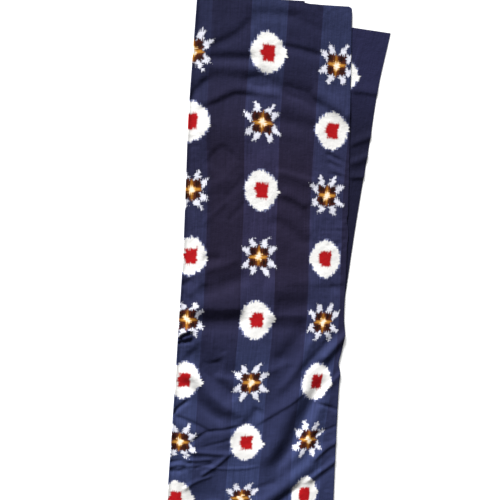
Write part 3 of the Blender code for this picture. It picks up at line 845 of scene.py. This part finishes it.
def random_at(x, y, seed):
    """One even random number from 0 to 1 for each whole-number place."""
    node = tree.nodes.new("ShaderNodeTexWhiteNoise")
    node.noise_dimensions = "3D"
    put(node.inputs["Vector"], vector(x, y, seed))
    return node.outputs["Value"]


def noise_at(place, scale, detail, roughness):
    node = tree.nodes.new("ShaderNodeTexNoise")
    put(node.inputs["Vector"], place)
    node.inputs["Scale"].default_value = scale
    node.inputs["Detail"].default_value = detail
    node.inputs["Roughness"].default_value = roughness
    return node.outputs["Fac"]


def either_way(chance):
    """A number from 0 to 1, moved to run from -0.5 to 0.5."""
    return sub(chance, 0.5)


def blend(amount, first, second):
    """The first colour where the amount is 0, and the second where it is 1."""
    node = tree.nodes.new("ShaderNodeMix")
    node.data_type = "RGBA"
    put(node.inputs["Factor"], amount)
    put(node.inputs[MIX_FIRST], first)
    put(node.inputs[MIX_SECOND], second)
    return node.outputs[MIX_RESULT]


# Sizes of the dyed pattern are in pitches, so each motif fills one cell of 1 by 1 round its middle. The
# bunched cloth down the right column draws its motifs narrower and longer, more so with each row.
CELL_HALF = 0.5
CRISP = 0.01
BUNCHED_COLUMN = 2.0
STAR_NARROWER = 0.014
CIRCLE_NARROWER_YET = 0.020
MOTIF_LONGER = 0.012

uv_node = tree.nodes.new("ShaderNodeUVMap")
uv_node.uv_map = CLOTH_UV
split = tree.nodes.new("ShaderNodeSeparateXYZ")
tree.links.new(uv_node.outputs["UV"], split.inputs[0])
weft_place = split.outputs[0]
warp_place = split.outputs[1]

column = calc("ROUND", weft_place)
row = calc("ROUND", warp_place)
is_circle = calc("FLOORED_MODULO", add(column, row), 2.0)
off_column = sub(weft_place, column)
off_row = sub(warp_place, row)
bunched = mul(inside(CELL_HALF, absolute(sub(column, BUNCHED_COLUMN)), CRISP), row)
narrowed = add(1.0, mul(bunched, add(STAR_NARROWER, mul(is_circle, CIRCLE_NARROWER_YET))))
drawn_out = sub(1.0, mul(bunched, MOTIF_LONGER))
in_x = mul(off_column, narrowed)
in_y = mul(off_row, drawn_out)
abs_x = absolute(in_x)
abs_y = absolute(in_y)
to_right = calc("GREATER_THAN", in_x, 0.0)
to_near = calc("GREATER_THAN", in_y, 0.0)
quarter = add(to_right, mul(to_near, 2.0))
middle_row = (len(ROWS) - 1) / 2
in_rows = inside(len(ROWS) / 2, absolute(sub(warp_place, middle_row)), CRISP)

# Seeds of the random numbers, one for each thing that differs from motif to motif.
WEFT_SEED = 1.0
WARP_SEED = 2.0
BUNCH_SEED = 3.0
STRAND_SEED = 7.0
CIRCLE_WIDE_SEED = 11.0
CIRCLE_HIGH_SEED = 12.0
SPUR_PLACE_SEED = 13.0
SPUR_OUT_SEED = 14.0
RED_SEED = 15.0
PETAL_LONG_SEED = 20.0
PETAL_LEAN_SEED = 30.0

# Yarns that were tied together slip as one: bunches of about three ties, single ties, and the strands
# that make up a tie. The slips are how far they move along themselves.
TIES_A_PITCH = 25.0
STRANDS_A_PITCH = 84.0
BUNCHES_A_TIE = 0.34
WEFT_TIE_SLIP = 0.032
WEFT_STRAND_SLIP = 0.026
WARP_TIE_SLIP = 0.022
WARP_STRAND_SLIP = 0.046


def slip(tie, strand, cell, seed, tie_slip, strand_slip):
    """How far the yarns of one tie have slipped along themselves."""
    bunch = floor(mul(tie, BUNCHES_A_TIE))
    by_bunch = mul(either_way(random_at(bunch, cell, seed + BUNCH_SEED)), tie_slip)
    by_tie = mul(either_way(random_at(tie, cell, seed)), tie_slip)
    by_strand = mul(either_way(random_at(strand, cell, seed + STRAND_SEED)), strand_slip)
    return add(add(by_bunch, by_tie), by_strand)


def tie_middle(tie):
    """The middle of a tie, in pitches."""
    return divide(add(tie, 0.5), TIES_A_PITCH)


weft_tie = floor(mul(warp_place, TIES_A_PITCH))
weft_strand = floor(mul(warp_place, STRANDS_A_PITCH))
warp_tie = floor(mul(weft_place, TIES_A_PITCH))
warp_strand = floor(mul(weft_place, STRANDS_A_PITCH))
weft_slip = slip(weft_tie, weft_strand, column, WEFT_SEED, WEFT_TIE_SLIP, WEFT_STRAND_SLIP)
warp_slip = slip(warp_tie, warp_strand, row, WARP_SEED, WARP_TIE_SLIP, WARP_STRAND_SLIP)
weft_x = absolute(add(in_x, weft_slip))
warp_y = absolute(add(in_y, warp_slip))
tie_y = mul(sub(tie_middle(weft_tie), row), drawn_out)
tie_x = mul(sub(tie_middle(warp_tie), column), narrowed)
stepped_y = absolute(tie_y)
stepped_x = absolute(tie_x)

# A white circle, which differs a little from cell to cell in width, height and roundness, with a
# half-dyed fringe and one spur to its right. Its red middle has both left corners cut back.
FEATHER = 0.022
CIRCLE_WIDE = 0.252
CIRCLE_WIDE_MORE = 0.026
CIRCLE_HIGH = 0.288
CIRCLE_HIGH_MORE = 0.022
CIRCLE_HIGHER_A_ROW = 0.0025
CIRCLE_POWER = 1.9
ROUNDNESS = 0.52
ROUNDNESS_MORE = 0.16
FRINGE_SHARE = 0.8
SPUR_PLACE = 0.12
SPUR_HALF = 0.05
SPUR_SOFT = 0.004
SPUR_OUT = 0.026
SPUR_SLOPE = 0.4
RED_WIDE = 0.090
RED_WIDE_MORE = 0.022
RED_HIGH = 0.118
RED_CORNER_FROM = 0.058
RED_CORNER_CUT = 0.026
RED_RIGHT_STEADY = 0.65

circle_wide = add(CIRCLE_WIDE, mul(random_at(column, row, CIRCLE_WIDE_SEED), CIRCLE_WIDE_MORE))
row_high = add(CIRCLE_HIGH, mul(row, CIRCLE_HIGHER_A_ROW))
circle_high = add(row_high, mul(random_at(column, row, CIRCLE_HIGH_SEED), CIRCLE_HIGH_MORE))
roundness = add(ROUNDNESS, mul(random_at(column, row, quarter), ROUNDNESS_MORE))


def reach_at(other, high, wide):
    """Half the circle's width at one height, or a little less than 0 past its end."""
    part = calc("POWER", divide(other, high), CIRCLE_POWER)
    left_over = calc("SUBTRACT", 1.0, part, clamp=True)
    return sub(mul(calc("POWER", left_over, roundness), wide), FEATHER / 2)


weft_white = inside(reach_at(stepped_y, circle_high, circle_wide), weft_x, FEATHER)
warp_white = inside(reach_at(stepped_x, circle_wide, circle_high), warp_y, FEATHER)
spur_y = mul(either_way(random_at(column, row, SPUR_PLACE_SEED)), SPUR_PLACE)
off_spur = absolute(sub(tie_y, spur_y))
spur_out = sub(mul(random_at(column, row, SPUR_OUT_SEED), SPUR_OUT), mul(off_spur, SPUR_SLOPE))
spur_ties = mul(inside(SPUR_HALF, off_spur, SPUR_SOFT), to_right)
spur = mul(inside(add(circle_wide, spur_out), weft_x, FEATHER), spur_ties)
circle_white = either(both(weft_white, warp_white), spur)
circle_half = mul(either(weft_white, warp_white), FRINGE_SHARE)
red_corner = mul(calc("GREATER_THAN", stepped_y, RED_CORNER_FROM), sub(1.0, to_right))
red_wide = add(RED_WIDE, mul(random_at(weft_tie, column, RED_SEED), RED_WIDE_MORE))
red_wide = sub(red_wide, mul(red_corner, RED_CORNER_CUT))
red_x = absolute(add(in_x, mul(weft_slip, sub(1.0, mul(to_right, RED_RIGHT_STEADY)))))
weft_red = both(inside(red_wide, red_x, FEATHER), inside(RED_HIGH, abs_y, FEATHER))
warp_red = both(inside(RED_HIGH, warp_y, FEATHER), inside(red_wide, abs_x, FEATHER))
circle_red = mul(add(weft_red, warp_red), 0.5)

# An eight-petalled star: four petals run along the warp and four along the weft, in pairs whose inner
# edges part outwards. Petals differ in length and lean from quarter to quarter.
Petals = namedtuple("Petals", "start end inner outer slant tip")
UPRIGHT = Petals(0.152, 0.266, 0.028, 0.120, 2.4, 0.034)
SIDEWAYS = Petals(0.142, 0.237, 0.022, 0.150, 1.5, 0.026)
PETAL_LONG_MORE = 0.034
UPRIGHT_LEAN = 0.030
RIGHT_LEAN = 0.016
SIDEWAYS_LEAN = 0.012


def petals_along(outward, aside, shape, longer, lean):
    """Petals that run outwards along one yarn. Their inner edge slants away from the axis."""
    end = add(shape.end, longer)
    travelled = calc("DIVIDE", sub(outward, shape.start), sub(end, shape.start), clamp=True)
    slant = mul(calc("POWER", travelled, shape.slant), shape.outer - shape.inner - shape.tip)
    inner_edge = add(add(shape.inner, slant), mul(travelled, lean))
    outer_edge = add(shape.outer, mul(travelled, lean))
    wide = both(inside(outer_edge, aside, FEATHER), inside(inner_edge, aside, -FEATHER))
    return both(wide, both(inside(end, outward, FEATHER), inside(shape.start, outward, -FEATHER)))


petal_longer = mul(random_at(column, row, add(quarter, PETAL_LONG_SEED)), PETAL_LONG_MORE)
petal_lean = mul(random_at(column, row, add(quarter, PETAL_LEAN_SEED)), UPRIGHT_LEAN)
petal_lean = add(petal_lean, mul(to_right, RIGHT_LEAN))
upright = petals_along(warp_y, weft_x, UPRIGHT, petal_longer, petal_lean)
sideways = petals_along(weft_x, warp_y, SIDEWAYS, petal_longer, SIDEWAYS_LEAN)
petals = either(upright, sideways)

# The star's maroon square, with a gold cross whose arms taper outwards, a cream heart with a yellow
# edge, a deep spot in each quarter, and rust streaks that are stronger beside the arms.
CORE_WIDE = 0.132
CORE_HIGH = 0.145
Arm = namedtuple("Arm", "half taper reach")
ARM_ACROSS = Arm(0.028, 0.09, 0.124)
ARM_ALONG = Arm(0.026, 0.10, 0.150)
ARM_END_SOFT = 0.05
HEART_WIDE = 0.050
HEART_HIGH = 0.068
HEART_EDGE = 0.5
HEART_SOFT = 0.7
HALO_EDGE = 1.0
HALO_SOFT = 0.9
SPOT_X = 0.086
SPOT_Y = 0.088
SPOT_EDGE = 0.0014
SPOT_SOFT = 0.0020
BESIDE_ARM = 0.052
BESIDE_ARM_SOFT = 0.040
RUST_FROM = 0.50
RUST_BESIDE_ARM = 0.13
RUST_CONTRAST = 3.0


def gold_arm(arm, out, aside, slipped_out):
    """The two arms of the cross that lie along one yarn."""
    half = sub(arm.half, mul(out, arm.taper))
    return both(inside(half, aside, FEATHER), inside(arm.reach, slipped_out, ARM_END_SOFT))


def squared_distance(x, y):
    return add(mul(x, x), mul(y, y))


core = both(inside(CORE_WIDE, weft_x, FEATHER), inside(CORE_HIGH, warp_y, FEATHER))
gold_across = gold_arm(ARM_ACROSS, abs_x, abs_y, weft_x)
gold_along = gold_arm(ARM_ALONG, abs_y, abs_x, warp_y)
from_heart = squared_distance(divide(weft_x, HEART_WIDE), divide(warp_y, HEART_HIGH))
heart = inside(HEART_EDGE, from_heart, HEART_SOFT)
halo = inside(HALO_EDGE, from_heart, HALO_SOFT)
from_spot = squared_distance(sub(abs_x, SPOT_X), sub(abs_y, SPOT_Y))
spot = inside(SPOT_EDGE, from_spot, SPOT_SOFT)
beside_arm = inside(BESIDE_ARM, both(abs_x, abs_y), BESIDE_ARM_SOFT)

# The ground: a paler warp band half a pitch wide down each column, with a thin bright line down each of
# its edges. The first column's band is narrower, and weak at its far end. On the flap no band shows.
BAND_HALF = 0.247
BAND_SOFT = 0.010
FIRST_BAND_LESS = 0.025
FIRST_BAND_WEAK = 0.55
WEAK_UNTIL = 2.0
WEAK_SOFT = 0.6
BAND_LINE = 0.006
BAND_LINE_BRIGHT = 0.18
FLAP_FROM_U = 4.0
in_first_column = inside(CELL_HALF, weft_place, CRISP)
band_half = sub(BAND_HALF, mul(in_first_column, FIRST_BAND_LESS))
band_weak = mul(mul(in_first_column, inside(WEAK_UNTIL, warp_place, WEAK_SOFT)), FIRST_BAND_WEAK)
band_x = absolute(off_column)
band = mul(inside(band_half, band_x, BAND_SOFT), sub(1.0, band_weak))
band_line = inside(BAND_LINE, absolute(sub(band_x, band_half)), BAND_LINE)
on_flap = calc("GREATER_THAN", weft_place, FLAP_FROM_U)
on_face_side = sub(1.0, on_flap)

# The dye took with a plum tone in the middle of the length, most of all in the middle column, and paler
# and bluer towards the near end. The flap's ground carries painted shade: it is painted darker towards
# the near end, where the face's edge shades it.
PLUM_MIDDLE = 2.35
PLUM_HALF = 1.55
PLUM_SOFT = 1.6
PLUM_COLUMN = 1.0
PLUM_COLUMN_HALF = 0.75
PLUM_COLUMN_SOFT = 0.10
PLUM_BESIDE = 0.45
NEAR_FROM = 5.4
NEAR_SOFT = 2.8
FLAP_FAR_UNTIL = 0.35
FLAP_FAR_SOFT = 0.9
plum_rows = inside(PLUM_HALF, absolute(sub(warp_place, PLUM_MIDDLE)), PLUM_SOFT)
plum_column = inside(PLUM_COLUMN_HALF, absolute(sub(weft_place, PLUM_COLUMN)), PLUM_COLUMN_SOFT)
plum = mul(plum_rows, add(PLUM_BESIDE, mul(plum_column, 1.0 - PLUM_BESIDE)))
nearness = inside(NEAR_FROM, warp_place, -NEAR_SOFT)
flap_farness = inside(FLAP_FAR_UNTIL, warp_place, FLAP_FAR_SOFT)
ground_dye = blend(nearness, blend(plum, NAVY_GROUND, PLUM_GROUND), NEAR_GROUND)
band_dye = blend(nearness, blend(plum, NAVY_BAND, PLUM_BAND), NEAR_BAND)
# Painted shade on the flap: its ground darkens towards the near end, where the face's edge shades it.
flap_ground_and_painted_shade = blend(flap_farness, FLAP_NEAR_PAINTED_SHADE, FLAP_FAR)
ground = blend(on_flap, blend(band, ground_dye, band_dye), flap_ground_and_painted_shade)

# Streaks along single yarns and along groups of warp yarns, which show most in the bands. The face also
# turns a little paler from its left column to its right one.
Streaks = namedtuple("Streaks", "across along seed")
WARP_STREAKS = Streaks(130.0, 2.2, 0.0)
WEFT_STREAKS = Streaks(2.6, 120.0, 5.0)
WARP_GROUPS = Streaks(38.0, 1.6, 9.0)
STREAK_DETAIL = 2.0
STREAK_ROUGHNESS = 0.6
WARP_CONTRAST = 0.8
WEFT_CONTRAST = 0.4
GROUP_CONTRAST = 0.38
GROUP_BAND_CONTRAST = 0.42
EVEN_AT_U = 0.9
PALER_UNTIL_U = 2.4
PALER_A_PITCH = 0.08


def streaks_along(streaks):
    """Uneven marks from 0 to 1, so many to a pitch across and along the cloth."""
    place = vector(mul(weft_place, streaks.across), mul(warp_place, streaks.along), streaks.seed)
    return noise_at(place, 1.0, STREAK_DETAIL, STREAK_ROUGHNESS)


warp_streak = streaks_along(WARP_STREAKS)
weft_streak = streaks_along(WEFT_STREAKS)
warp_group = streaks_along(WARP_GROUPS)
group_contrast = add(GROUP_CONTRAST, mul(band, GROUP_BAND_CONTRAST))
streak = add(mul(either_way(warp_streak), WARP_CONTRAST), mul(either_way(weft_streak), WEFT_CONTRAST))
streak = add(streak, mul(either_way(warp_group), group_contrast))
paler = mul(mul(sub(both(weft_place, PALER_UNTIL_U), EVEN_AT_U), PALER_A_PITCH), on_face_side)
line_bright = mul(band_line, mul(on_face_side, BAND_LINE_BRIGHT))
lighter = tree.nodes.new("ShaderNodeHueSaturation")
put(lighter.inputs["Value"], add(add(add(1.0, paler), streak), line_bright))
put(lighter.inputs["Color"], ground)
ground = lighter.outputs[0]

# The motifs over the ground, each one's parts from the widest to the smallest.
circle = blend(mul(circle_half, in_rows), ground, HALF_DYED)
circle = blend(mul(circle_white, in_rows), circle, UNDYED)
circle = blend(mul(circle_red, in_rows), circle, RED)
star = blend(mul(petals, in_rows), ground, PETAL)
rust_streak = add(sub(warp_streak, RUST_FROM), mul(beside_arm, RUST_BESIDE_ARM))
rusty = calc("MULTIPLY", rust_streak, RUST_CONTRAST, clamp=True)
core_dye = blend(rusty, blend(spot, MAROON, DEEP_MAROON), RUST)
star = blend(mul(core, in_rows), star, core_dye)
star = blend(mul(gold_along, in_rows), star, DULL_GOLD)
star = blend(mul(gold_across, in_rows), star, GOLD)
star = blend(mul(halo, in_rows), star, YELLOW)
star = blend(mul(heart, in_rows), star, CREAM)
tree.links.new(blend(is_circle, star, circle), shader.inputs["Base Color"])

# The weave: warp and weft pass over and under each other, two yarns to the millimetre, and the washed
# cotton is finely uneven between its creases.
YARNS_A_MM = 2.0
WEAVE_STRENGTH = 0.25
WEAVE_DEPTH = 0.0001
RUMPLES_A_PITCH = 9.0
RUMPLE_DETAIL = 4.0
RUMPLE_ROUGHNESS = 0.55
RUMPLE_STRENGTH = 0.35
RUMPLE_DEPTH = 0.002


def bump(strength, depth, height):
    node = tree.nodes.new("ShaderNodeBump")
    node.inputs["Strength"].default_value = strength
    node.inputs["Distance"].default_value = depth
    put(node.inputs["Height"], height)
    return node


over_and_under = YARNS_A_MM * PITCH * math.pi
warp_wave = calc("SINE", mul(weft_place, over_and_under))
weft_wave = calc("SINE", mul(warp_place, over_and_under))
uneven = noise_at(vector(weft_place, warp_place), RUMPLES_A_PITCH, RUMPLE_DETAIL, RUMPLE_ROUGHNESS)
weave = bump(WEAVE_STRENGTH, WEAVE_DEPTH, mul(warp_wave, weft_wave))
rumple = bump(RUMPLE_STRENGTH, RUMPLE_DEPTH, uneven)
tree.links.new(weave.outputs[0], rumple.inputs["Normal"])
tree.links.new(rumple.outputs[0], shader.inputs["Normal"])

cloth.data.materials.append(dye)
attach(cloth, "root")
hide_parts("cloth")
